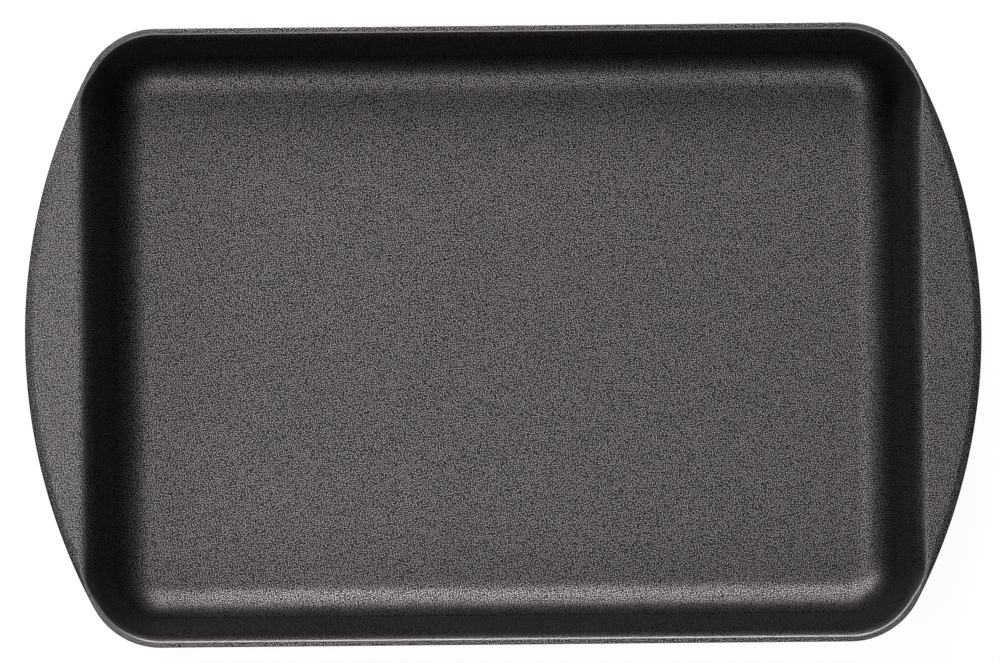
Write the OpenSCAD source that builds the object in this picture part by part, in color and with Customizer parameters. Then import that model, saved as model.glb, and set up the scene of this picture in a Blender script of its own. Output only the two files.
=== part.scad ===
// Cast baking dish with a flat crescent handle at each end.
// The origin is at the centre of the base, on the table. X runs along the dish, Y across it and Z up.

/* [Body] */
// Length of the body over its end rims, without the handles
body_l = 299; // [285:1:320]
// Width across the long rims
body_w = 220; // [205:1:240]
// Height from the table to the rim
body_h = 60; // [54:1:72]
// Radius of the outer corners, seen from above
corner_r = 27; // [26:0.5:34]

/* [Walls] */
// Thickness of the walls, square to their face
wall_t = 3.2; // [2.6:0.1:3.6]
// Lean of the walls from upright, in degrees
draft = 7; // [4:0.5:8]

/* [Rim] */
// Width of the rim from its outer face to the inside wall
rim_w = 3.8; // [3.6:0.1:5]
// Height of the thicker band round the top of the walls
rim_h = 7; // [6:0.5:10]
// Radius of the lip that rolls from the rim into the dish
lip_r = 2.4; // [1.5:0.1:2.8]
// Radius of the rim's outer edges, above and below
edge_r = 0.8; // [0.6:0.1:1]

/* [Base] */
// Thickness of the floor
floor_t = 4.5; // [3.5:0.1:6]
// Inside radius between the walls and the floor
fillet_r = 14.5; // [10:0.5:15.5]
// Outside radius between the walls and the underside
base_r = 14; // [8:0.5:16]
// Width of the band that the dish stands on
foot_w = 14; // [8:0.5:20]
// Depth of the hollow inside that band
hollow_h = 0.8; // [0.4:0.1:1.5]
// Radius of the hollow's corners
hollow_r = 12; // [6:1:20]

/* [Handles] */
// Reach of each handle beyond the end rim
handle_l = 20.5; // [16:0.5:26]
// Thickness of the handles at their outer edge
handle_t = 4; // [3.2:0.1:5]
// Width of the bevel along the handles' outer edge
bevel_w = 2.8; // [2:0.1:4]
// Drop of that bevel
bevel_h = 1.4; // [1:0.1:1.8]
// Radius of the handles' lower edge
under_r = 1.2; // [0.6:0.1:1.6]
// Length that each thin tip of a handle is cut back by
tip_trim = 4.5; // [3:0.5:8]

/* [Coating] */
// Thickness of the non-stick coating
coat_t = 0.3; // [0.1:0.05:0.5]

/* [Hidden] */
// Facets of a full circle
$fn = 144;
// Overrun of each cut past the face that it leaves by
over = 1;
// Colour of the non-stick coating
coat_colour = "#5b5758";
// Colour of the casting's outside, which has a thinner coat
casting_colour = "#474446";

// Run of the lean over a height, and of a thickness that is measured square to the wall
lean = tan(draft);
slant = 1 / cos(draft);

// Centre of the corner arcs, which the rim, walls, fillet and floor share
corner_x = body_l / 2 - corner_r;
corner_y = body_w / 2 - corner_r;

// The handle's outer arc passes its tip and touches the corner arcs from outside
handle_r = (pow(handle_l + corner_r, 2) + corner_y * corner_y - corner_r * corner_r) / (2 * handle_l);
handle_tip_x = body_l / 2 + handle_l;
handle_centre_x = handle_tip_x - handle_r;
touch_a = atan2(corner_y, corner_x - handle_centre_x);
handle_half_w = corner_y + corner_r * sin(touch_a) - tip_trim;
handle_end_a = asin((handle_half_w - corner_y) / corner_r);

// The handles thicken towards the rim band, down to its round lower edge
inside_r = handle_r - handle_l - rim_w;
root_t = rim_h - edge_r;
taper = atan((root_t - handle_t) / handle_l);
function under_z(r) = body_h - handle_t - (handle_r - r) * tan(taper);

// Sections are drawn with X as the distance out from the corner axis and Y as the height
function wall_x(z) = corner_r - rim_w - (body_h - z) * lean;
function outside_x(z) = wall_x(z) + wall_t * slant;
fillet_z = floor_t + fillet_r;
fillet_x = wall_x(fillet_z) - fillet_r * slant;
lip_z = body_h - lip_r;
lip_x = wall_x(lip_z) + lip_r * slant;
edge_x = corner_r - edge_r;
edge_z = body_h - edge_r;
base_x = outside_x(base_r) - base_r * slant;
band_z = body_h - rim_h;

// The sliver between an arc and the two edges that it touches, with its point moved past the edges' corner
module arc_corner(centre, r, touch_1, corner, touch_2) {
    away = corner - centre;
    point = corner + over * away / norm(away);
    difference() {
        polygon([touch_1, point, touch_2]);
        translate(centre) circle(r);
    }
}

// Everything under the coated surface, less a skin of the given depth
module under_surface(depth) {
    face = depth * slant;
    top = body_h - depth;
    bottom = floor_t - depth;
    rise = fillet_r + depth;
    roll = lip_r - depth;
    difference() {
        union() {
            polygon([
                [-over, -over], [corner_r + over, -over], [corner_r + over, top],
                [wall_x(top) + face, top], [wall_x(bottom) + face, bottom], [-over, bottom]
            ]);
            arc_corner([fillet_x, fillet_z], rise, [fillet_x, bottom], [wall_x(bottom) + face, bottom],
                [fillet_x + rise * cos(draft), fillet_z - rise * sin(draft)]);
        }
        arc_corner([lip_x, lip_z], roll, [lip_x, top], [wall_x(top) + face, top],
            [lip_x - roll * cos(draft), lip_z + roll * sin(draft)]);
    }
}

// Section of the curve from the floor up to the straight part of the wall, inside and outside
module curve_section() {
    intersection() {
        under_surface(coat_t);
        difference() {
            polygon([[fillet_x, 0], [outside_x(0), 0], [outside_x(fillet_z), fillet_z], [fillet_x, fillet_z]]);
            arc_corner([base_x, base_r], base_r, [base_x, 0], [outside_x(0), 0],
                [base_x + base_r * cos(draft), base_r - base_r * sin(draft)]);
        }
    }
}

// Section of the straight part of the wall, up to the rim band
module wall_section() {
    face = coat_t * slant;
    polygon([
        [wall_x(fillet_z) + face, fillet_z], [outside_x(fillet_z), fillet_z],
        [outside_x(band_z), band_z], [wall_x(band_z) + face, band_z]
    ]);
}

// Section of the rim band
module rim_section() {
    difference() {
        intersection() {
            under_surface(coat_t);
            translate([0, band_z]) square([corner_r, rim_h]);
        }
        arc_corner([edge_x, band_z + edge_r], edge_r, [edge_x, band_z], [corner_r, band_z],
            [corner_r, band_z + edge_r]);
    }
}

// Section of the coating from the edge of the flat floor to the rim's outer face
module coat_section() {
    intersection() {
        difference() {
            under_surface(0);
            under_surface(coat_t);
        }
        translate([fillet_x, 0]) square([corner_r - fillet_x, body_h]);
    }
}

// Section of what is taken off the rim to round its outer edge
module edge_section() {
    arc_corner([edge_x, edge_z], edge_r, [corner_r, edge_z], [corner_r, body_h], [edge_x, body_h]);
}

// Sweeps a section round part of each corner, with the angles taken from the end of the dish
module round_corners(from, to) {
    for (flip_x = [0, 1], flip_y = [0, 1])
        mirror([flip_x, 0, 0]) mirror([0, flip_y, 0])
            translate([corner_x, -corner_y, 0])
                rotate([0, 0, -to]) rotate_extrude(angle = to - from) children();
}

// Sweeps a section along two opposite straight sides of the given half length and distance
module straight_sides(half, distance, turn) {
    for (side = [0, 180])
        rotate([0, 0, turn + side])
            translate([-half, distance, 0])
                rotate([90, 0, 90]) linear_extrude(2 * half) children();
}

// Sweeps a section all the way round the dish
module all_round() {
    straight_sides(corner_x, corner_y, 0) children();
    straight_sides(corner_y, corner_x, 90) children();
    round_corners(0, 90) children();
}

// Rounds the outer edge of the rim, but not where a handle carries on from it
module with_round_edge() {
    difference() {
        union() children();
        straight_sides(corner_x, corner_y, 0) edge_section();
        round_corners(handle_end_a, 90) edge_section();
    }
}

// A rectangle with round corners, centred on the dish
module rounded_plan(half_l, half_w, r) {
    square([2 * half_l, 2 * (half_w - r)], center = true);
    square([2 * (half_l - r), 2 * half_w], center = true);
    for (side_x = [-1, 1], side_y = [-1, 1])
        translate([side_x * (half_l - r), side_y * (half_w - r)]) circle(r);
}

// The line that lies a distance out from the corner axis, all the way round
module body_plan(x) {
    rounded_plan(corner_x + x, corner_y + x, x);
}

// A crescent between the rim and the handle's arc, from a section drawn round the arc's centre
module crescent() {
    half_a = asin(handle_half_w / inside_r);
    intersection() {
        difference() {
            translate([handle_centre_x, 0, 0])
                rotate([0, 0, -half_a])
                    rotate_extrude(angle = 2 * half_a) children();
            linear_extrude(body_h + over) body_plan(corner_r);
        }
        translate([0, -handle_half_w, 0]) cube([handle_tip_x + over, 2 * handle_half_w, body_h + over]);
    }
}

// Section of a handle under its coating, with a bevel above and a round edge below
module handle_section() {
    top = body_h - coat_t;
    turn_r = handle_r - under_r;
    turn_z = under_z(turn_r) + under_r / cos(taper);
    difference() {
        polygon([
            [inside_r, under_z(inside_r)], [handle_r, under_z(handle_r)],
            [handle_r, top - bevel_h], [handle_r - bevel_w, top], [inside_r, top]
        ]);
        arc_corner([turn_r, turn_z], under_r,
            [turn_r + under_r * sin(taper), turn_z - under_r * cos(taper)],
            [handle_r, under_z(handle_r)], [handle_r, turn_z]);
    }
}

// Section of the coating over a handle
module handle_coat_section() {
    bend_r = handle_r - bevel_w;
    top = body_h - coat_t;
    polygon([
        [inside_r, top], [bend_r, top], [handle_r, top - bevel_h],
        [handle_r, body_h - bevel_h], [bend_r, body_h], [inside_r, body_h]
    ]);
}

// The flat floor of the casting, hollowed a little underneath inside the band that it stands on
module base_plate() {
    foot_in = base_x - foot_w;
    color(casting_colour)
        difference() {
            linear_extrude(floor_t - coat_t) body_plan(fillet_x);
            translate([0, 0, -over])
                linear_extrude(over + hollow_h)
                    rounded_plan(corner_x + foot_in, corner_y + foot_in, hollow_r);
        }
}

// The curve between the floor and the walls, all the way round
module bottom_curve() {
    color(casting_colour) all_round() curve_section();
}

// The drafted walls and their corners
module side_walls() {
    color(casting_colour) all_round() wall_section();
}

// The thicker band round the top of the walls
module rim_band() {
    color(casting_colour) with_round_edge() all_round() rim_section();
}

// One handle, level with the rim
module handle() {
    color(casting_colour) crescent() handle_section();
}

module left_handle() {
    mirror([1, 0, 0]) handle();
}

module right_handle() {
    handle();
}

// The coating over the floor, fillet, walls, rim and handle tops
module nonstick_coating() {
    color(coat_colour) {
        translate([0, 0, floor_t - coat_t]) linear_extrude(coat_t) body_plan(fillet_x);
        with_round_edge() all_round() coat_section();
        crescent() handle_coat_section();
        mirror([1, 0, 0]) crescent() handle_coat_section();
    }
}

base_plate();
bottom_curve();
side_walls();
rim_band();
left_handle();
right_handle();
nonstick_coating();
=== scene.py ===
import math
from collections import namedtuple

import bmesh
import bpy
from bpy.props import FloatProperty, FloatVectorProperty, PointerProperty
from mathutils import Matrix, Vector


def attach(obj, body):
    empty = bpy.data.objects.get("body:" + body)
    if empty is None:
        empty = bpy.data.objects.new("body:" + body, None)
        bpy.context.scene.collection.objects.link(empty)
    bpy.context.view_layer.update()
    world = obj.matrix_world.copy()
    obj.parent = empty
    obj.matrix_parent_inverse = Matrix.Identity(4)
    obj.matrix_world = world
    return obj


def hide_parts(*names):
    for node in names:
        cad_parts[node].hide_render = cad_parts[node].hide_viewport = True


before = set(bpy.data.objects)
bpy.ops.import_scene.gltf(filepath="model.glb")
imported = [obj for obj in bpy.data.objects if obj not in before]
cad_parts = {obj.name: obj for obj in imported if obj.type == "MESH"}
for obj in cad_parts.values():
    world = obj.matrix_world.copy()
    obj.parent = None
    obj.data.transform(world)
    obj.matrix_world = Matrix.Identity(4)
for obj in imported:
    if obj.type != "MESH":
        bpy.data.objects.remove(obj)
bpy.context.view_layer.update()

bl_info = {
    "name": "Cast baking dish",
    "version": (1, 0, 0),
    "blender": (4, 5, 0),
    "location": "3D View > Sidebar > Dish",
    "description": "Builds a coated cast baking dish with crescent handles, and its stage",
    "category": "Add Mesh",
}

# Steps round a corner, along half an end, along half a long side and round the tip of a handle
CORNER_STEPS = 30
END_STEPS = 30
SIDE_STEPS = 10
TIP_STEPS = 16

# Steps of the fillet, the lip, its crest, the bevel's two arcs and the round edges of the casting
FILLET_STEPS = 26
LIP_STEPS = 8
CREST_STEPS = 8
BEVEL_STEPS = 5
ROUND_STEPS = 6

# Steps of the swell under a handle
SWELL_STEPS = 12

# Edges that turn more than this are drawn sharp
SHARP_ANGLE = math.radians(32)

# The first row of a swept section lies this far out, and the others follow at this spacing
FIRST_ROW = 0.001
ROW_STEP = 0.0002

# A painted highlight is laid on the lip's crest where it is turned about this far, towards the lamps, and
# fades over the spread
HIGHLIGHT_TURN = math.radians(26)
HIGHLIGHT_SPREAD = math.radians(20)

# How much painted light the tops of the left and right handles get, more on the left where more light falls
LEFT_PAINTED_LIGHT = 0.11
RIGHT_PAINTED_LIGHT = 0.02

# How far off the grain's neighbours are, in grain sizes, and by how much the brightest grains top them
GRAIN_REACH = 1.2
GRAIN_CONTRAST = 0.225

# The grain's pattern is turned this far in plan, off the lines of the dish
GRAIN_TURN = math.radians(29)

# Points closer than this are one, and so are places that agree to this many digits
MERGE = 1e-6
PLACE_DIGITS = 6

# A handle's tip stops this turn short of the rim's outline
TIP_STOP = math.radians(1.5)

# Lengths along, past the straight end, over which the lip turns narrow and its crest crisp
WIDE_SPAN = (-0.009, 0.0145)
SOFT_SPAN = (-0.014, 0.004)

# Power of that fade, and the share of the crest's painted highlight that is missing along the handles
FADE_POWER = 1.5
END_HIGHLIGHT_LOSS = 0.8

# The bevel is full where a handle stands out this far, and the underside and painted light of a handle are
BEVEL_FULL = 0.0065
HANDLE_FULL = 0.003

# Least width of the flat between the lip and the outer edge
LEAST_FLAT = 0.00005

# Rows this far from a bend keep level faces level in the shading
SUPPORT = 0.0004
FLAT_SUPPORT = 0.0003

# A handle's edge turns under this many lower radii up, and it thickens to the rim by this power
UNDER_START = 1.5
SWELL_POWER = 1.6

# Share of metal in the coats, and how much of its light they keep at a flat angle
METAL_SHARE = 0.97
FLAT_TINT = (0.06, 0.06, 0.06, 1.0)

# Roughness of the coating and of the coat outside, and how far the slow clouds take it up and down
COAT_ROUGHNESS = 0.455
CASTING_ROUGHNESS = 0.48
CLOUD_SPREAD = 0.02
CLOUD_SCALE = 18.0
CLOUD_DETAIL = 3.0
CLOUD_LOW = 0.3
CLOUD_HIGH = 0.7

# The painted highlight takes this much off the roughness, and shows by the base amount, with more on the
# grains
HIGHLIGHT_SMOOTHING = 0.08
HIGHLIGHT_BASE = 0.7
HIGHLIGHT_ON_GRAINS = 0.6

# Sockets of a Mix node that mixes colours
MIX_A = 6
MIX_B = 7
MIX_RESULT = 2

# Half the width of the stage floor, and the tone and glow that the camera sees it with
FLOOR_REACH = 60.0
SEEN_TONE = 0.15
SEEN_GLOW = 0.94

# Height that the lamps face, and what the camera takes in
LAMP_AIM = 0.05
CLIP_START = 0.1
CLIP_END = 100.0


def length(name, description, default):
    """A property that holds a length in metres."""
    return FloatProperty(name=name, description=description, default=default, unit="LENGTH", precision=4)


def angle(name, description, degrees):
    """A property that holds an angle."""
    return FloatProperty(name=name, description=description, default=math.radians(degrees), subtype="ANGLE")


def number(name, description, default):
    """A property that holds a plain number."""
    return FloatProperty(name=name, description=description, default=default)


def colour(name, description, default):
    """A property that holds a colour."""
    return FloatVectorProperty(name=name, description=description, default=default, subtype="COLOR", size=3)


class DishSizes(bpy.types.PropertyGroup):
    """Sizes of the dish"""

    body_length: length("Body length", "Length over the end rims, without the handles", 0.299)
    body_width: length("Body width", "Width across the long rims", 0.220)
    height: length("Height", "Height from the table to the rim", 0.060)
    corner_radius: length("Corner radius", "Radius of the outer corners from above", 0.027)
    wall_thickness: length("Wall thickness", "Thickness of the walls, square to their face", 0.0032)
    draft: angle("Draft", "Lean of the walls from upright", 7)
    rim_width: length("Rim width", "Width of the rim to the inside wall", 0.0038)
    rim_height: length("Rim height", "Height of the thicker band round the top", 0.007)
    rim_edge: length("Rim edge", "Radius of the rim's outer edges", 0.0004)
    rim_root: length("Rim root", "Radius where the rim band meets the wall below it", 0.0005)
    side_lip: length("Side lip", "Width of the lip along the long sides", 0.0022)
    side_crest: length("Side crest", "Radius of the crest of that lip", 0.0010)
    side_turn: angle("Side turn", "How far that crest turns before the lip runs down to the wall", 42)
    end_lip: length("End lip", "Width of the lip at the handles", 0.0053)
    end_crest: length("End crest", "Radius of the crest of that lip", 0.0046)
    end_turn: angle("End turn", "How far that crest turns before the lip runs down to the wall", 33)
    floor_thickness: length("Floor thickness", "Height of the floor above the table", 0.0045)
    fillet_radius: length("Fillet radius", "Inside radius between walls and floor", 0.0130)
    fillet_ease: number("Fillet ease", "How much flatter the fillet is at its ends than a circle", 0.15)
    base_radius: length("Base radius", "Outside radius between walls and underside", 0.014)
    foot_width: length("Foot width", "Width of the band that the dish stands on", 0.014)
    hollow_depth: length("Hollow depth", "Depth of the hollow inside that band", 0.0008)
    hollow_radius: length("Hollow radius", "Radius of the hollow's corners", 0.012)
    handle_reach: length("Handle reach", "Reach of each handle beyond the end rim", 0.0205)
    handle_thickness: length("Handle thickness", "Thickness of the handles at their edge", 0.004)
    bevel_width: length("Bevel width", "Width of the bevel along the handles", 0.0028)
    bevel_drop: length("Bevel drop", "Drop of that bevel", 0.0006)
    bevel_crest: length("Bevel crest", "Radius where the handle's top turns into the bevel", 0.0010)
    bevel_foot: length("Bevel foot", "Radius where the bevel turns into the edge", 0.0007)
    under_radius: length("Under radius", "Radius of the handles' lower edge", 0.0012)
    coating: length("Coating", "Thickness of the non-stick coating", 0.0003)


class DishFinish(bpy.types.PropertyGroup):
    """Colours and grain of the dish"""

    coat_colour: colour("Coat", "Colour of the coating between its grains", (0.0197, 0.0193, 0.0196))
    grain_colour: colour("Grains", "Colour of the bright grains in the coating", (0.478, 0.438, 0.452))
    # Painted highlight: the lighter colour laid on the lip's crest where it faces the lamps, and on the
    # handle tops
    painted_highlight_colour: colour("Painted crest highlight", "Colour of the coating where it is rubbed", (0.394, 0.382, 0.386))
    casting_colour: colour("Casting", "Colour of the thinner coat outside", (0.0300, 0.0280, 0.0288))
    casting_grain: colour("Casting grains", "Colour of the grains in that coat", (0.208, 0.195, 0.199))
    grain_size: length("Grain size", "Size of the grains", 0.0004)
    peel_size: length("Peel size", "Width of one bump of the orange peel", 0.0012)
    peel_height: length("Peel height", "Height of the orange peel", 0.000015)


class StageSettings(bpy.types.PropertyGroup):
    """Floor, lamps and camera"""

    floor_colour: colour("Floor", "Colour of the floor", (0.82, 0.82, 0.82))
    sky: number("Sky", "Strength of the light from all round", 0.02)
    key: number("Key", "Power of the lamp beyond the far left corner", 8.9)
    low_far: number("Low far", "Power of the lamp low beyond the far side", 5.6)
    high_far: number("High far", "Power of the lamp high beyond the far side", 8.2)
    upper: number("Upper", "Power of the lamp overhead, left of the middle", 2.9)
    overhead: number("Overhead", "Power of the lamp straight above", 0.7)
    near: number("Near", "Power of the lamp on the near side", 2.75)
    near_right: number("Near right", "Power of the lamp off the near right corner", 0.6)
    lamp_distance: length("Lamp distance", "Distance of the lamps from the dish", 1.5)
    lamp_size: length("Lamp size", "Width of each lamp", 0.45)
    camera_distance: length("Camera distance", "Height of the camera above the rim", 4.0)
    view_width: length("View width", "Width that the picture takes in at the rim", 0.3553)
    view_shift_x: length("View shift X", "How far the dish lies right of the middle", 0.00114)
    view_shift_y: length("View shift Y", "How far the dish lies below the middle", 0.00128)
    view_turn: angle("View turn", "Turn of the dish in the picture", 0.53)


# A place: its point on the corner axes, the way out, its turn, and the length past the end's straight run
Place = namedtuple("Place", "axis out turn along")

# A point of a section: distance out, height, how far in its corner axes lie, painted light, and length along
Row = namedtuple("Row", "out up inset wear run", defaults=(0.0, 0.0, 0.0))

# The round crest and foot of an outer edge, with the width, drop and slope of the bevel between them
Edge = namedtuple("Edge", "crest foot across drop slope")

# The lip's crest, the run down to the wall, the turn where they meet, where the flat starts, and the painted
# highlight
Lip = namedtuple("Lip", "crest run turn flat_out wear")


class Shape:
    """Numbers that follow from the sizes."""

    def __init__(self, sizes):
        self.s = sizes
        self.half_x = sizes.body_length / 2 - sizes.corner_radius
        self.half_y = sizes.body_width / 2 - sizes.corner_radius
        self.lean = math.tan(sizes.draft)
        self.slant = 1 / math.cos(sizes.draft)
        self.fillet_up = sizes.floor_thickness + sizes.fillet_radius
        self.fillet_out = self.wall_out(self.fillet_up) - sizes.fillet_radius * self.slant
        self.base_out = self.outside_out(sizes.base_radius) - sizes.base_radius * self.slant
        self.band_up = sizes.height - sizes.rim_height
        reach, corner = sizes.handle_reach, sizes.corner_radius
        span = (reach + corner) ** 2 + self.half_y**2 - corner**2
        self.handle_radius = span / (2 * reach)
        self.handle_centre = sizes.body_length / 2 + reach - self.handle_radius
        self.touch_turn = math.atan2(self.half_y, self.half_x - self.handle_centre)

    def wall_out(self, up):
        """Distance out of the inside wall at a height."""
        return self.s.corner_radius - self.s.rim_width - (self.s.height - up) * self.lean

    def outside_out(self, up):
        """Distance out of the outside wall at a height."""
        return self.wall_out(up) + self.s.wall_thickness * self.slant

    def place(self, co):
        """The place round the dish that a point belongs to."""
        axis = Vector((min(max(co.x, -self.half_x), self.half_x), min(max(co.y, -self.half_y), self.half_y)))
        out = Vector((co.x, co.y)) - axis
        out.normalize()
        turn = math.atan2(abs(out.y), abs(out.x))
        along = abs(axis.y) - self.half_y + self.s.corner_radius * turn
        return Place(axis, out, turn, along)

    def arc_reach(self, place, inset):
        """Distance out to the handle's arc, less an inset square to the arc."""
        centre = Vector((math.copysign(1.0, place.out.x) * self.handle_centre, 0.0))
        away = place.axis - centre
        along = away.dot(place.out)
        return -along + math.sqrt(along**2 - away.length_squared + (self.handle_radius - inset) ** 2)

    def has_handle(self, place):
        """Whether the outline is the handle's there, and not the rim's."""
        return place.turn < self.touch_turn

    def outline(self, place, inset=0.0):
        """Distance out to the outline, less an inset."""
        if self.has_handle(place):
            return self.arc_reach(place, inset)
        return self.s.corner_radius - inset

    def gap(self, place):
        """How far the handle stands out from the rim's own outline."""
        return self.outline(place) - self.s.corner_radius

    def edge_at(self, gap):
        """The outer edge where the handle stands out by a gap: the rim's round or the handle's bevel."""
        s = self.s
        share = min(gap / BEVEL_FULL, 1.0)
        half_turn = s.rim_edge * (1 - math.tan(math.pi / 8))
        across = half_turn + (s.bevel_width - half_turn) * share
        drop = half_turn + (s.bevel_drop - half_turn) * share
        crest = s.rim_edge + (s.bevel_crest - s.rim_edge) * share
        foot = s.rim_edge + (s.bevel_foot - s.rim_edge) * share
        return Edge(crest, foot, across, drop, math.atan2(drop, across))

    def near_handle(self, place, span):
        """Falls from 1 along the handles to 0 along the sides, over a span of lengths along."""
        start, end = span
        t = min(max((place.along - start) / (end - start), 0.0), 1.0)
        return (1 - t) ** FADE_POWER * (1 + FADE_POWER * t)

    def lip_at(self, place):
        """The lip at a place: wide and soft along the handles, narrow and crisp elsewhere."""
        s = self.s
        wide = self.near_handle(place, WIDE_SPAN)
        soft = self.near_handle(place, SOFT_SPAN)
        edge = self.edge_at(self.gap(place))
        top_in = s.corner_radius - s.rim_width
        edge_in = edge.across + edge.crest * math.tan(edge.slope / 2)
        room = self.outline(place, edge_in) - top_in - LEAST_FLAT
        width = min(s.side_lip + (s.end_lip - s.side_lip) * wide, room)
        crest = s.side_crest + (s.end_crest - s.side_crest) * soft
        turn = s.side_turn + (s.end_turn - s.side_turn) * soft
        full = math.pi / 2 - s.draft
        used = crest * (math.sin(turn) - (1 - math.cos(turn)) * self.lean)
        rate = math.sin(full) - math.sin(turn) - (math.cos(turn) - math.cos(full)) * self.lean
        return Lip(crest, (width - used) / rate, turn, top_in + width, 1 - END_HIGHLIGHT_LOSS * soft)


def spaced(first, last, steps):
    """Evenly spaced values with both ends."""
    return [first + (last - first) * i / steps for i in range(steps + 1)]


def fillet_rows(shape, depth):
    """The inside fillet from floor to wall, flatter at its ends than a circle, a depth under its face."""
    s = shape.s
    full = math.pi / 2 - s.draft
    step = full / FILLET_STEPS
    line = [(0.0, 0.0)]
    for i in range(FILLET_STEPS):
        a = (i + 0.5) * step
        reach = step * (1 + s.fillet_ease * math.cos(2 * math.pi * a / full))
        line.append((line[-1][0] + reach * math.cos(a), line[-1][1] + reach * math.sin(a)))
    wide = s.fillet_radius * math.sin(full) / line[-1][0]
    tall = s.fillet_radius * (1 - math.cos(full)) / line[-1][1]
    rows = []
    for a, (out, up) in zip(spaced(0, full, FILLET_STEPS), line):
        rows.append(
            Row(
                shape.fillet_out + wide * out + depth * math.sin(a),
                s.floor_thickness + tall * up - depth * math.cos(a),
            )
        )
    return rows


def inside_rows(shape, place, depth):
    """Floor, fillet, wall and lip, from the middle outwards, a depth under the coated face."""
    floor_up = shape.s.floor_thickness - depth
    level = [Row(FIRST_ROW, floor_up), Row(shape.fillet_out - SUPPORT, floor_up)]
    return level + fillet_rows(shape, depth) + lip_rows(shape, place, depth)


def lip_rows(shape, place, depth):
    """The lip, from the wall up over its crest to the flat top."""
    s = shape.s
    lip = shape.lip_at(place)
    run_out = lip.flat_out + (lip.run - lip.crest) * math.sin(lip.turn)
    run_up = s.height - lip.crest - (lip.run - lip.crest) * math.cos(lip.turn)
    rows = []
    for a in spaced(math.pi / 2 - s.draft, lip.turn, LIP_STEPS)[:-1]:
        r = lip.run - depth
        rows.append(Row(run_out - r * math.sin(a), run_up + r * math.cos(a)))
    for a in spaced(lip.turn, 0, CREST_STEPS):
        r = lip.crest - depth
        # Painted highlight: the crest rows turned towards the lamps get the lighter colour
        wear = lip.wear * max(1 - abs(a - HIGHLIGHT_TURN) / HIGHLIGHT_SPREAD, 0.0)
        rows.append(Row(lip.flat_out - r * math.sin(a), s.height - lip.crest + r * math.cos(a), wear=wear))
    return rows


def height_at(rows, out):
    """Height of a line of rows at a distance out, and of its last row beyond it."""
    for near, far in zip(rows, rows[1:]):
        if near.out <= out <= far.out:
            return near.up + (far.up - near.up) * (out - near.out) / max(far.out - near.out, MERGE)
    return rows[-1].up


def edge_rows(shape, place, depth, with_handle=True):
    """From the flat top down over the outer edge, a depth under the coated face."""
    s = shape.s
    edge = shape.edge_at(shape.gap(place) if with_handle else 0.0)
    crest_run = edge.crest * math.tan(edge.slope / 2)
    foot_run = edge.foot * math.tan((math.pi / 2 - edge.slope) / 2)
    points = []
    for a in spaced(0, edge.slope, BEVEL_STEPS):
        r = edge.crest - depth
        points.append((edge.across + crest_run - r * math.sin(a), -edge.crest + r * math.cos(a)))
    for a in spaced(edge.slope, math.pi / 2, ROUND_STEPS):
        r = edge.foot - depth
        points.append((edge.foot - r * math.sin(a), -edge.drop - foot_run + r * math.cos(a)))
    outline = shape.outline if with_handle else lambda _, inset: s.corner_radius - inset
    return [Row(outline(place, inset), s.height + down) for inset, down in points]


def flat_rows(start, end):
    """Two rows that keep the flat between two rows level in the shading."""
    support = min(FLAT_SUPPORT, (end.out - start.out) / 4)
    return [Row(start.out + support, start.up), Row(end.out - support, end.up)]


def with_runs(rows):
    """The rows with their lengths along the section, which start as distances out."""
    run = rows[0].out
    measured = [rows[0]._replace(run=run)]
    for near, far in zip(rows, rows[1:]):
        run += math.hypot(far.out - near.out, far.up - near.up)
        measured.append(far._replace(run=run))
    return measured


def coat_side(shape, place, depth):
    """One face of the coating, from the floor's middle to the outer edge."""
    inside, edge = inside_rows(shape, place, depth), edge_rows(shape, place, depth)
    # Painted light on the handle tops, stronger on the left than on the right
    wear = (LEFT_PAINTED_LIGHT if place.out.x < 0 else RIGHT_PAINTED_LIGHT) * min(shape.gap(place) / HANDLE_FULL, 1.0)
    return with_runs(inside + [row._replace(wear=wear) for row in flat_rows(inside[-1], edge[0]) + edge])


def coating_section(shape, place):
    """The coating: its face, and its back a thickness below."""
    return coat_side(shape, place, 0.0) + coat_side(shape, place, shape.s.coating)[::-1]


def floor_section(shape, place):
    """The floor of the casting, with the foot band and the hollow under it."""
    s = shape.s
    top = s.floor_thickness - s.coating
    foot_in = shape.base_out - s.foot_width
    inset = s.hollow_radius - foot_in
    rows = [Row(FIRST_ROW, top), Row(shape.fillet_out, top), Row(shape.fillet_out, 0.0)]
    edge = s.hollow_depth / 2
    for a in spaced(0, math.pi / 2, ROUND_STEPS):
        rows.append(Row(s.hollow_radius + edge * (1 - math.sin(a)), edge * (1 - math.cos(a)), inset))
    for a in spaced(0, math.pi / 2, ROUND_STEPS)[1:]:
        rows.append(Row(s.hollow_radius - edge * (1 - math.cos(a)), edge * (1 + math.sin(a)), inset))
    rows.append(Row(s.hollow_radius - 3 * edge, s.hollow_depth, inset))
    return rows


def curve_section(shape, place):
    """The curve from the floor up to the straight wall, inside and outside."""
    s = shape.s
    rows = fillet_rows(shape, s.coating)
    rows.append(Row(shape.wall_out(shape.fillet_up) + s.coating * shape.slant, shape.fillet_up))
    rows.append(Row(shape.outside_out(shape.fillet_up), shape.fillet_up))
    turn_up = s.base_radius * (1 - math.sin(s.draft)) + SUPPORT
    rows.append(Row(shape.outside_out(turn_up), turn_up))
    for a in spaced(s.draft, math.pi / 2, FILLET_STEPS):
        rows.append(Row(shape.base_out + s.base_radius * math.cos(a), s.base_radius * (1 - math.sin(a))))
    rows.append(Row(shape.base_out - SUPPORT, 0.0))
    rows.append(Row(shape.fillet_out, 0.0))
    return rows


def wall_section(shape, place):
    """The straight part of the wall."""
    face = shape.s.coating * shape.slant
    return [
        Row(shape.wall_out(shape.fillet_up) + face, shape.fillet_up),
        Row(shape.wall_out(shape.band_up) + face, shape.band_up),
        Row(shape.outside_out(shape.band_up), shape.band_up),
        Row(shape.outside_out(shape.fillet_up), shape.fillet_up),
    ]


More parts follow.
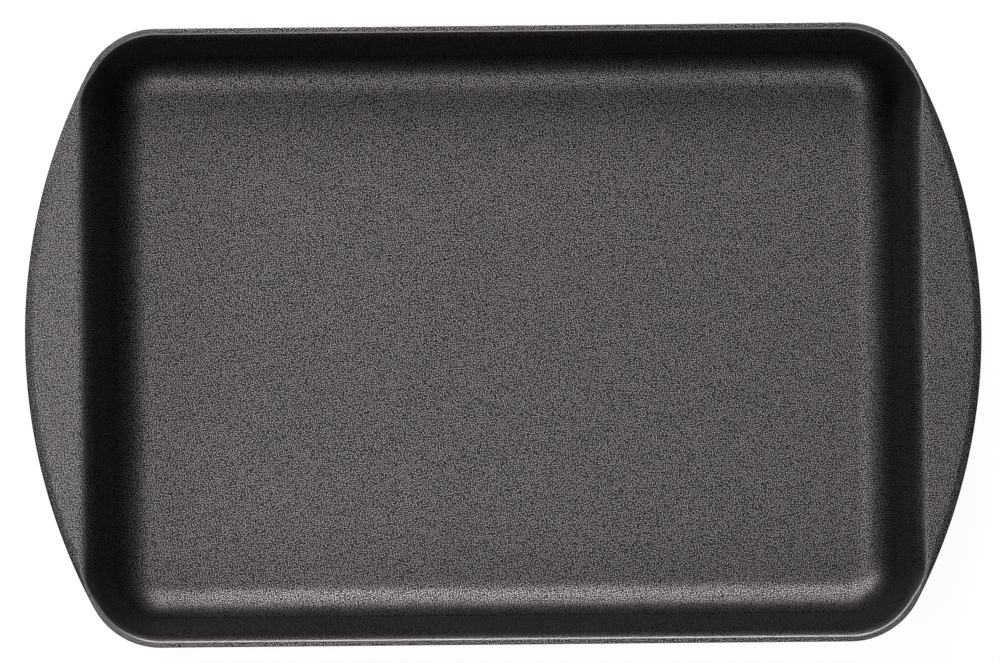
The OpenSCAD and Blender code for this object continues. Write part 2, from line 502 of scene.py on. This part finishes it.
def rim_section(shape, place):
    """The rim band under its coating, with a small root where it meets the wall."""
    s = shape.s
    lip = lip_rows(shape, place, s.coating)
    top = height_at(lip, s.corner_radius)
    inside = [row if row.out < s.corner_radius else Row(s.corner_radius, top) for row in lip]
    edge = edge_rows(shape, place, s.coating, with_handle=False)
    edge = [Row(max(row.out, inside[-1].out), min(row.up, top)) for row in edge]
    rows = [Row(shape.wall_out(shape.band_up) + s.coating * shape.slant, shape.band_up)] + inside + edge
    rows.append(Row(s.corner_radius, edge[-1].up))
    edge_up = shape.band_up + s.rim_edge
    rows.append(Row(s.corner_radius, edge_up + s.rim_edge / 2))
    for a in spaced(0, math.pi / 2, ROUND_STEPS):
        rows.append(
            Row(s.corner_radius - s.rim_edge * (1 - math.cos(a)), edge_up - s.rim_edge * math.sin(a))
        )
    root_up = shape.band_up - s.rim_root
    root_out = shape.outside_out(root_up) + s.rim_root
    for a in spaced(0, math.pi / 2, ROUND_STEPS):
        rows.append(Row(root_out - s.rim_root * math.sin(a), root_up + s.rim_root * math.cos(a)))
    rows.append(Row(shape.outside_out(shape.band_up), shape.band_up))
    return rows


def handle_section(shape, place):
    """A handle under its coating, thin at its edge and swelling towards the rim."""
    s = shape.s
    edge = edge_rows(shape, place, s.coating)
    rim = s.corner_radius
    outer = shape.outline(place)
    gap = outer - rim
    full = min(gap / HANDLE_FULL, 1.0)
    root_up = shape.band_up + s.rim_edge
    low_up = root_up + (s.height - s.handle_thickness - root_up) * full * full * (3 - 2 * full)
    under = s.under_radius * full
    lip = lip_rows(shape, place, s.coating)
    rows = [Row(out, height_at(lip, out)) for out in spaced(rim, max(lip[-1].out, rim), CREST_STEPS)]
    rows += [*edge, Row(outer, edge[-1].up), Row(outer, low_up + UNDER_START * under)]
    for a in spaced(0, math.pi / 2, ROUND_STEPS):
        inset = under * (1 - math.cos(a))
        rows.append(Row(shape.outline(place, inset), low_up + under * (1 - math.sin(a))))
    start = rows[-1].out
    for share in spaced(0, 1, SWELL_STEPS)[1:]:
        rows.append(Row(start + (rim - start) * share, low_up + (root_up - low_up) * share**SWELL_POWER))
    return rows


def start_rows(bm, count, centre):
    """A chain of points out from a corner axis, each marked with its row, with layers for its looks."""
    # This layer carries the painted highlight on the crest and the painted light on the handle tops
    bm.verts.layers.float.new("wear")
    bm.verts.layers.float_vector.new("unrolled")
    row = bm.verts.layers.int.new("row")
    chain = [bm.verts.new((centre[0] + FIRST_ROW + ROW_STEP * i, centre[1], centre[2])) for i in range(count)]
    for i, vert in enumerate(chain):
        vert[row] = i
    return chain


def chain_edges(bm, chain, closed):
    """Joins the points of a chain in order."""
    edges = [bm.edges.new(pair) for pair in zip(chain, chain[1:])]
    if closed:
        edges.append(bm.edges.new((chain[-1], chain[0])))
    return edges


def carry(bm, last, run, steps):
    """Carries a section along a straight run."""
    step = Vector(run) / steps
    made = bmesh.ops.spin(bm, geom=last, cent=(0, 0, 0), axis=(0, 0, 1), dvec=step, angle=0.0, steps=steps)
    return made["geom_last"]


def turn_round(bm, last, centre, turn, steps):
    """Carries a section round a corner."""
    made = bmesh.ops.spin(bm, geom=last, cent=centre, axis=(0, 0, 1), dvec=(0, 0, 0), angle=turn, steps=steps)
    return made["geom_last"]


def settle_rows(bm, shape, section):
    """Moves each point to where its row lies in the section at its place round the dish."""
    row, wear = bm.verts.layers.int["row"], bm.verts.layers.float["wear"]
    unrolled = bm.verts.layers.float_vector["unrolled"]
    known = {}
    for vert in bm.verts:
        place = shape.place(vert.co)
        key = tuple(round(c, PLACE_DIGITS) for c in (*place.axis, *place.out))
        if key not in known:
            known[key] = section(shape, place)
        at = known[key][vert[row]]
        axis = Vector(
            (place.axis.x * (1 - at.inset / shape.half_x), place.axis.y * (1 - at.inset / shape.half_y))
        )
        spot = axis + place.out * at.out
        vert.co = (spot.x, spot.y, at.up)
        vert[wear] = at.wear
        vert[unrolled] = (axis + place.out * at.run).to_3d()


def mirror_over(bm, axis):
    """Adds the mirror image of everything, joined on the middle plane."""
    everything = bm.verts[:] + bm.edges[:] + bm.faces[:]
    bmesh.ops.mirror(bm, geom=everything, matrix=Matrix.Identity(4), merge_dist=MERGE, axis=axis)


def close_and_face_out(bm):
    """Joins doubles, closes what is open and turns the faces outwards."""
    bmesh.ops.remove_doubles(bm, verts=bm.verts, dist=MERGE)
    open_edges = [e for e in bm.edges if e.is_boundary]
    if open_edges:
        bmesh.ops.holes_fill(bm, edges=open_edges, sides=0)
    bmesh.ops.recalc_face_normals(bm, faces=bm.faces)


def sweep_end(shape, section, closed, turn, steps):
    """A section carried from the middle of an end to a corner and some way round it."""
    bm = bmesh.new()
    count = len(section(shape, shape.place(Vector((shape.half_x + FIRST_ROW, 0.0, 0.0)))))
    chain = start_rows(bm, count, (shape.half_x, 0.0, 0.0))
    last = carry(bm, chain + chain_edges(bm, chain, closed), (0.0, shape.half_y, 0.0), END_STEPS)
    return bm, turn_round(bm, last, (shape.half_x, shape.half_y, 0.0), turn, steps)


def sweep_all_round(shape, section, closed):
    """A bmesh of a section carried round the whole dish. An open section is filled level at its two ends."""
    bm, last = sweep_end(shape, section, closed, math.pi / 2, CORNER_STEPS)
    carry(bm, last, (-shape.half_x, 0.0, 0.0), SIDE_STEPS)
    mirror_over(bm, "X")
    mirror_over(bm, "Y")
    settle_rows(bm, shape, section)
    close_and_face_out(bm)
    return bm


def sweep_handle(shape, section):
    """A bmesh of a section carried along one end, from tip to tip."""
    bm, _ = sweep_end(shape, section, True, shape.touch_turn - TIP_STOP, TIP_STEPS)
    settle_rows(bm, shape, section)
    mirror_over(bm, "Y")
    close_and_face_out(bm)
    return bm


def finish_piece(bm, name, node, material):
    """Makes the object of a piece, in the place of its CAD node."""
    mesh = bpy.data.meshes.new(name)
    bm.to_mesh(mesh)
    bm.free()
    mesh.shade_smooth()
    mesh.set_sharp_from_angle(angle=SHARP_ANGLE)
    mesh.materials.append(material)
    piece = bpy.data.objects.new(name, mesh)
    bpy.context.scene.collection.objects.link(piece)
    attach(piece, "root")
    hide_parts(node)


def add_node(tree, kind, inputs=(), **settings):
    """Adds a node, with its settings, and with values or links for its inputs."""
    node = tree.nodes.new(kind)
    for name, value in settings.items():
        setattr(node, name, value)
    for name, value in dict(inputs).items():
        if isinstance(value, bpy.types.NodeSocket):
            tree.links.new(value, node.inputs[name])
        else:
            node.inputs[name].default_value = value
    return node


def grain_group():
    """Grains, orange peel and slow clouds. A grain is where noise tops the mean of its six neighbours."""
    known = bpy.data.node_groups.get("Sprayed grain")
    if known:
        return known
    group = bpy.data.node_groups.new("Sprayed grain", "ShaderNodeTree")
    sockets = group.interface
    sockets.new_socket(name="Vector", in_out="INPUT", socket_type="NodeSocketVector")
    for name in ("Grain size", "Peel size"):
        sockets.new_socket(name=name, in_out="INPUT", socket_type="NodeSocketFloat")
    for name in ("Grains", "Peel", "Clouds"):
        sockets.new_socket(name=name, in_out="OUTPUT", socket_type="NodeSocketFloat")
    start = group.nodes.new("NodeGroupInput")
    spot = start.outputs["Vector"]

    def scale_of(size):
        scale = add_node(group, "ShaderNodeMath", {0: 1.0, 1: start.outputs[size]}, operation="DIVIDE")
        return scale.outputs[0]

    def noise_at(place, scale, detail):
        noise = add_node(group, "ShaderNodeTexNoise", {"Vector": place, "Scale": scale, "Detail": detail})
        return noise.outputs[0]

    askew = add_node(
        group, "ShaderNodeVectorRotate", {"Vector": spot, "Angle": GRAIN_TURN}, rotation_type="Z_AXIS"
    )
    fine = add_node(
        group,
        "ShaderNodeVectorMath",
        {0: askew.outputs[0], "Scale": scale_of("Grain size")},
        operation="SCALE",
    )
    above = noise_at(fine.outputs[0], 1.0, 0.0)
    shifts = [sign * GRAIN_REACH * Vector(way) for way in Matrix.Identity(3) for sign in (1, -1)]
    for shift in shifts:
        moved = add_node(group, "ShaderNodeVectorMath", {0: fine.outputs[0], 1: shift}, operation="ADD")
        near = noise_at(moved.outputs[0], 1.0, 0.0)
        less = {0: near, 1: -1 / len(shifts), 2: above}
        above = add_node(group, "ShaderNodeMath", less, operation="MULTIPLY_ADD").outputs[0]
    bright = add_node(
        group, "ShaderNodeMapRange", {"Value": above, "From Min": 0.0, "From Max": GRAIN_CONTRAST}
    )
    peel = noise_at(spot, scale_of("Peel size"), 1.0)
    clouds = noise_at(spot, CLOUD_SCALE, CLOUD_DETAIL)
    end = group.nodes.new("NodeGroupOutput")
    group.links.new(bright.outputs[0], end.inputs["Grains"])
    group.links.new(peel, end.inputs["Peel"])
    group.links.new(clouds, end.inputs["Clouds"])
    return group


def sprayed_material(name, tone, grain_tone, finish, roughness, unrolled):
    """A sprayed and baked coat with grain and orange peel, with a painted highlight in a lighter colour along
    the lip's crest and painted light on the handle tops.
    """
    material = bpy.data.materials.new(name)
    material.use_nodes = True
    tree = material.node_tree
    tree.nodes.clear()
    if unrolled:
        spot = add_node(tree, "ShaderNodeAttribute", attribute_name="unrolled").outputs["Vector"]
    else:
        spot = add_node(tree, "ShaderNodeTexCoord").outputs["Object"]
    grain = add_node(tree, "ShaderNodeGroup", node_tree=grain_group())
    tree.links.new(spot, grain.inputs["Vector"])
    grain.inputs["Grain size"].default_value = finish.grain_size
    grain.inputs["Peel size"].default_value = finish.peel_size
    mix = add_node(tree, "ShaderNodeMix", {"Factor": grain.outputs["Grains"]}, data_type="RGBA")
    mix.inputs[MIX_A].default_value = (*tone, 1.0)
    mix.inputs[MIX_B].default_value = (*grain_tone, 1.0)
    # Painted highlight: this mask mixes the lighter colour in on the crest and the handle tops
    painted_highlight_mask = add_node(tree, "ShaderNodeAttribute", attribute_name="wear")
    patchy = add_node(
        tree,
        "ShaderNodeMath",
        {0: grain.outputs["Grains"], 1: HIGHLIGHT_ON_GRAINS, 2: HIGHLIGHT_BASE},
        operation="MULTIPLY_ADD",
    )
    highlighted = add_node(
        tree,
        "ShaderNodeMath",
        {0: patchy.outputs[0], 1: painted_highlight_mask.outputs["Fac"]},
        operation="MULTIPLY",
        use_clamp=True,
    )
    surface = add_node(
        tree,
        "ShaderNodeMix",
        {"Factor": highlighted.outputs[0], MIX_A: mix.outputs[MIX_RESULT]},
        data_type="RGBA",
    )
    surface.inputs[MIX_B].default_value = (*finish.painted_highlight_colour, 1.0)
    rough = add_node(
        tree,
        "ShaderNodeMapRange",
        {
            "Value": grain.outputs["Clouds"],
            "From Min": CLOUD_LOW,
            "From Max": CLOUD_HIGH,
            "To Min": roughness + CLOUD_SPREAD,
            "To Max": roughness - CLOUD_SPREAD,
        },
    )
    smoother = add_node(
        tree,
        "ShaderNodeMath",
        {0: painted_highlight_mask.outputs["Fac"], 1: -HIGHLIGHT_SMOOTHING, 2: rough.outputs[0]},
        operation="MULTIPLY_ADD",
    )
    bump = add_node(
        tree,
        "ShaderNodeBump",
        {"Height": grain.outputs["Peel"], "Strength": 1.0, "Distance": finish.peel_height},
    )
    coat = add_node(
        tree,
        "ShaderNodeBsdfPrincipled",
        {
            "Base Color": surface.outputs[MIX_RESULT],
            "Metallic": METAL_SHARE,
            "Roughness": smoother.outputs[0],
            "Normal": bump.outputs[0],
            "Specular Tint": FLAT_TINT,
        },
    )
    end = add_node(tree, "ShaderNodeOutputMaterial")
    tree.links.new(coat.outputs[0], end.inputs["Surface"])
    return material


def material_of(kind):
    """The coating's or the casting's material, made once."""
    finish = bpy.context.scene.dish_finish
    name = {"coating": "Non-stick coat", "casting": "Coated casting"}[kind]
    known = bpy.data.materials.get(name)
    if known:
        return known
    if kind == "coating":
        tones = finish.coat_colour, finish.grain_colour
        return sprayed_material(name, *tones, finish, COAT_ROUGHNESS, unrolled=True)
    tones = finish.casting_colour, finish.casting_grain
    return sprayed_material(name, *tones, finish, CASTING_ROUGHNESS, unrolled=False)


class DISH_OT_coating(bpy.types.Operator):
    """Makes the non-stick coating over the floor, walls, rim and handle tops"""

    bl_idname = "dish.coating"
    bl_label = "Non-stick coating"

    def execute(self, context):
        shape = Shape(context.scene.dish_sizes)
        bm = sweep_all_round(shape, coating_section, closed=False)
        finish_piece(bm, "coating", "nonstick_coating", material_of("coating"))
        return {"FINISHED"}


class DISH_OT_floor(bpy.types.Operator):
    """Makes the floor of the casting, with its foot band"""

    bl_idname = "dish.floor"
    bl_label = "Cast floor"

    def execute(self, context):
        shape = Shape(context.scene.dish_sizes)
        bm = sweep_all_round(shape, floor_section, closed=False)
        finish_piece(bm, "cast_floor", "base_plate", material_of("casting"))
        return {"FINISHED"}


class DISH_OT_curve(bpy.types.Operator):
    """Makes the curve between the floor and the walls"""

    bl_idname = "dish.curve"
    bl_label = "Cast bottom curve"

    def execute(self, context):
        shape = Shape(context.scene.dish_sizes)
        bm = sweep_all_round(shape, curve_section, closed=True)
        finish_piece(bm, "cast_bottom_curve", "bottom_curve", material_of("casting"))
        return {"FINISHED"}


class DISH_OT_walls(bpy.types.Operator):
    """Makes the straight part of the walls"""

    bl_idname = "dish.walls"
    bl_label = "Cast walls"

    def execute(self, context):
        shape = Shape(context.scene.dish_sizes)
        bm = sweep_all_round(shape, wall_section, closed=True)
        finish_piece(bm, "cast_walls", "side_walls", material_of("casting"))
        return {"FINISHED"}


class DISH_OT_rim(bpy.types.Operator):
    """Makes the thicker band round the top of the walls"""

    bl_idname = "dish.rim"
    bl_label = "Cast rim band"

    def execute(self, context):
        shape = Shape(context.scene.dish_sizes)
        bm = sweep_all_round(shape, rim_section, closed=True)
        finish_piece(bm, "cast_rim", "rim_band", material_of("casting"))
        return {"FINISHED"}


class DISH_OT_handles(bpy.types.Operator):
    """Makes the crescent handle at each end"""

    bl_idname = "dish.handles"
    bl_label = "Cast handles"

    def execute(self, context):
        shape = Shape(context.scene.dish_sizes)
        for side, turn in (("right", 0.0), ("left", math.pi)):
            bm = sweep_handle(shape, handle_section)
            bmesh.ops.rotate(bm, verts=bm.verts, cent=(0, 0, 0), matrix=Matrix.Rotation(turn, 3, "Z"))
            finish_piece(bm, f"cast_{side}_handle", f"{side}_handle", material_of("casting"))
        return {"FINISHED"}


def floor_material(tone):
    """A pale floor that the camera sees as white, with the dish's shadow on it."""
    material = bpy.data.materials.new("Pale floor")
    material.use_nodes = True
    tree = material.node_tree
    tree.nodes.clear()
    diffuse = add_node(tree, "ShaderNodeBsdfDiffuse", {"Color": (*tone, 1.0)})
    faint = add_node(tree, "ShaderNodeBsdfDiffuse", {"Color": (SEEN_TONE, SEEN_TONE, SEEN_TONE, 1.0)})
    glow = add_node(tree, "ShaderNodeEmission", {"Color": (1.0, 1.0, 1.0, 1.0), "Strength": SEEN_GLOW})
    seen = add_node(tree, "ShaderNodeAddShader", {0: faint.outputs[0], 1: glow.outputs[0]})
    path = add_node(tree, "ShaderNodeLightPath")
    mix = add_node(
        tree,
        "ShaderNodeMixShader",
        {0: path.outputs["Is Camera Ray"], 1: diffuse.outputs[0], 2: seen.outputs[0]},
    )
    end = add_node(tree, "ShaderNodeOutputMaterial")
    tree.links.new(mix.outputs[0], end.inputs["Surface"])
    return material


def make_world(strength):
    """Even light from all round, and white where the camera looks past the floor."""
    world = bpy.data.worlds.new("Studio")
    world.use_nodes = True
    tree = world.node_tree
    tree.nodes.clear()
    path = add_node(tree, "ShaderNodeLightPath")
    level = add_node(
        tree,
        "ShaderNodeMapRange",
        {
            "Value": path.outputs["Is Camera Ray"],
            "From Min": 0.0,
            "From Max": 1.0,
            "To Min": strength,
            "To Max": 1.0,
        },
    )
    sky = add_node(
        tree, "ShaderNodeBackground", {"Color": (1.0, 1.0, 1.0, 1.0), "Strength": level.outputs[0]}
    )
    end = add_node(tree, "ShaderNodeOutputWorld")
    tree.links.new(sky.outputs[0], end.inputs["Surface"])
    bpy.context.scene.world = world


def add_lamp(name, power, tilt, bearing, stage):
    """A soft lamp that faces the dish, tilted from straight above towards a bearing."""
    light = bpy.data.lights.new(name, "AREA")
    light.shape = "SQUARE"
    light.size = stage.lamp_size
    light.energy = power
    lamp = bpy.data.objects.new(name, light)
    tilt, bearing = math.radians(tilt), math.radians(bearing)
    way = Vector((math.sin(tilt) * math.cos(bearing), math.sin(tilt) * math.sin(bearing), math.cos(tilt)))
    lamp.location = Vector((0.0, 0.0, LAMP_AIM)) + stage.lamp_distance * way
    lamp.rotation_euler = way.to_track_quat("Z", "Y").to_euler()
    lamp.visible_camera = False
    bpy.context.scene.collection.objects.link(lamp)


def add_camera(stage, rim_up):
    """A long lens straight above the dish."""
    data = bpy.data.cameras.new("Camera")
    data.sensor_fit = "HORIZONTAL"
    data.lens = data.sensor_width * stage.camera_distance / stage.view_width
    data.clip_start, data.clip_end = CLIP_START, CLIP_END
    camera = bpy.data.objects.new("Camera", data)
    turn = Matrix.Rotation(-stage.view_turn, 4, "Z")
    aside = turn @ Vector((stage.view_shift_x, -stage.view_shift_y, 0.0))
    camera.location = Vector((0.0, 0.0, rim_up + stage.camera_distance)) - aside
    camera.rotation_euler = (0.0, 0.0, -stage.view_turn)
    bpy.context.scene.collection.objects.link(camera)
    bpy.context.scene.camera = camera


class DISH_OT_stage(bpy.types.Operator):
    """Makes the floor, the lamps and the camera"""

    bl_idname = "dish.stage"
    bl_label = "Stage"

    def execute(self, context):
        stage = context.scene.dish_stage
        bm = bmesh.new()
        bmesh.ops.create_grid(bm, x_segments=1, y_segments=1, size=FLOOR_REACH)
        mesh = bpy.data.meshes.new("floor")
        bm.to_mesh(mesh)
        bm.free()
        mesh.materials.append(floor_material(stage.floor_colour))
        floor = bpy.data.objects.new("floor", mesh)
        bpy.context.scene.collection.objects.link(floor)
        make_world(stage.sky)
        # Each lamp's name, power, tilt from straight above and bearing round from +X, in degrees
        for name, power, tilt, bearing in (
            ("Key", stage.key, 54.0, 135.0),
            ("Low far", stage.low_far, 70.0, 90.0),
            ("High far", stage.high_far, 36.0, 90.0),
            ("Upper", stage.upper, 18.0, 225.0),
            ("Overhead", stage.overhead, 0.0, 0.0),
            ("Near", stage.near, 36.0, 270.0),
            ("Near right", stage.near_right, 36.0, 315.0),
        ):
            add_lamp(name, power, tilt, bearing, stage)
        add_camera(stage, context.scene.dish_sizes.height)
        view = bpy.context.scene.view_settings
        view.view_transform = "Standard"
        return {"FINISHED"}


MAKERS = (
    DISH_OT_floor,
    DISH_OT_curve,
    DISH_OT_walls,
    DISH_OT_rim,
    DISH_OT_handles,
    DISH_OT_coating,
    DISH_OT_stage,
)


class DISH_PT_panel(bpy.types.Panel):
    """Lists the pieces of the dish"""

    bl_label = "Baking dish"
    bl_idname = "DISH_PT_panel"
    bl_space_type = "VIEW_3D"
    bl_region_type = "UI"
    bl_category = "Dish"

    def draw(self, context):
        for maker in MAKERS:
            self.layout.operator(maker.bl_idname)
        for settings in (context.scene.dish_sizes, context.scene.dish_finish, context.scene.dish_stage):
            box = self.layout.box()
            for name in settings.__annotations__:
                box.prop(settings, name)


GROUPS = {"dish_sizes": DishSizes, "dish_finish": DishFinish, "dish_stage": StageSettings}
CLASSES = (*GROUPS.values(), *MAKERS, DISH_PT_panel)


def register():
    for cls in CLASSES:
        bpy.utils.register_class(cls)
    for name, group in GROUPS.items():
        setattr(bpy.types.Scene, name, PointerProperty(type=group))


def unregister():
    for name in GROUPS:
        delattr(bpy.types.Scene, name)
    for cls in reversed(CLASSES):
        bpy.utils.unregister_class(cls)


def main():
    register()
    for name in ("floor", "curve", "walls", "rim", "handles", "coating", "stage"):
        getattr(bpy.ops.dish, name)()


if __name__ == "__main__":
    main()
